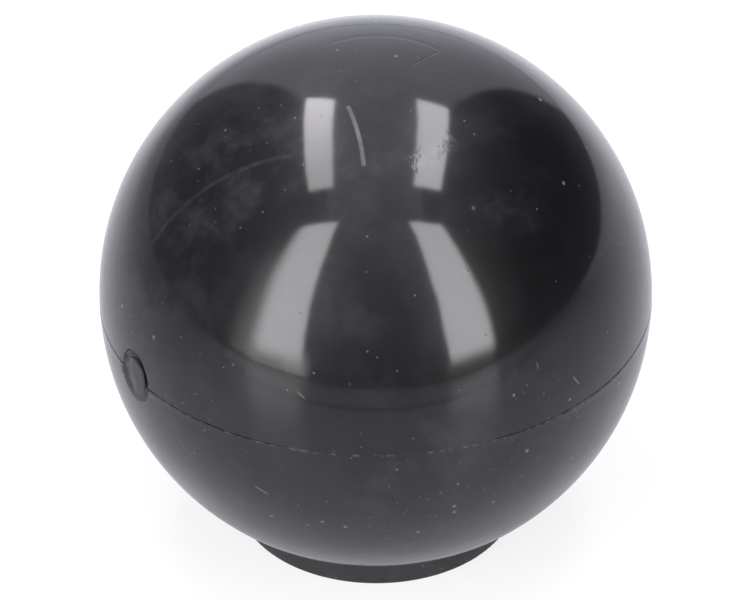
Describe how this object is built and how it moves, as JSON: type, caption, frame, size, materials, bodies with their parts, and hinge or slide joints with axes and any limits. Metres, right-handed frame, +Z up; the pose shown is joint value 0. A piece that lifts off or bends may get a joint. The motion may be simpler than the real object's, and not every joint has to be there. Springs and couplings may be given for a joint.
{
  "type": "case opening friction ball",
  "caption": "Soft air-filled rubber ball on a short round foot, pressed on a watch's screw back and turned by hand so that friction unscrews the back.",
  "frame": {"origin": "centre of the foot's resting plane, on the ball's vertical axis", "axes": "+Z up from the resting plane through the ball's pole; -Y is the front; the valve is at the equator, 212.3 degrees counterclockwise from +X seen from above"},
  "size_m": [0.0652, 0.0652, 0.0631],
  "materials": {
    "ball_rubber": "soft tacky black rubber, smooth and semi-glossy",
    "foot_rubber": "hard black rubber, satin",
    "valve_rubber": "soft black rubber, satin"
  },
  "bodies": {
    "root": {"upper_half_shell": "ball_rubber", "lower_half_shell": "ball_rubber", "foot": "foot_rubber", "valve_body": "valve_rubber", "valve_plug": "valve_rubber"}
  },
  "joints": []
}
